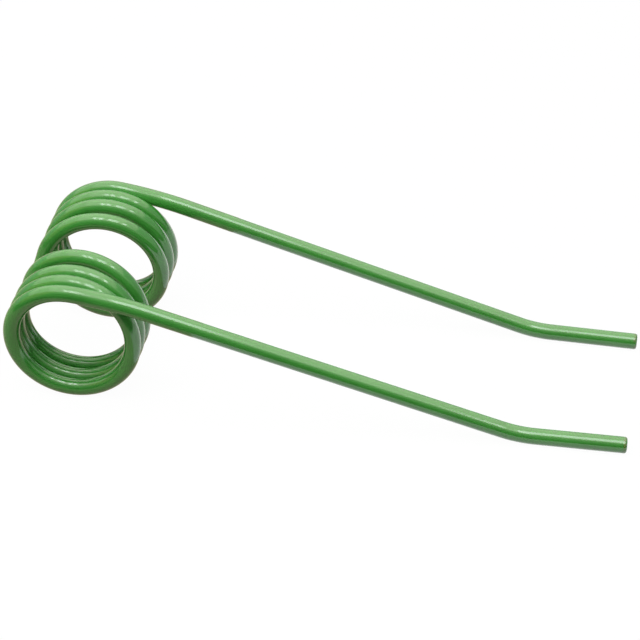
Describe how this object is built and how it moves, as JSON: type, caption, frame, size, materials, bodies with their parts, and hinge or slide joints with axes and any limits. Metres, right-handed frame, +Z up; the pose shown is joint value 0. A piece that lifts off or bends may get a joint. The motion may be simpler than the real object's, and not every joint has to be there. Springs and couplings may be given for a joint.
{
  "type": "baler pick-up tine",
  "caption": "Double spring tine bent from one round wire: coils side by side, joined by a bolt loop, with straight arms kicked up at their tips.",
  "frame": {"origin": "middle of the coils' common axis, halfway between the two coils", "axes": "+X from the coils towards the tips, +Y along the coils' axis, +Z up with the tine lying on its coils and tips"},
  "size_m": [0.2065, 0.068, 0.0454],
  "materials": {
    "green_paint": "gloss"
  },
  "bodies": {
    "root": {"double_tine": "green_paint"}
  },
  "joints": []
}
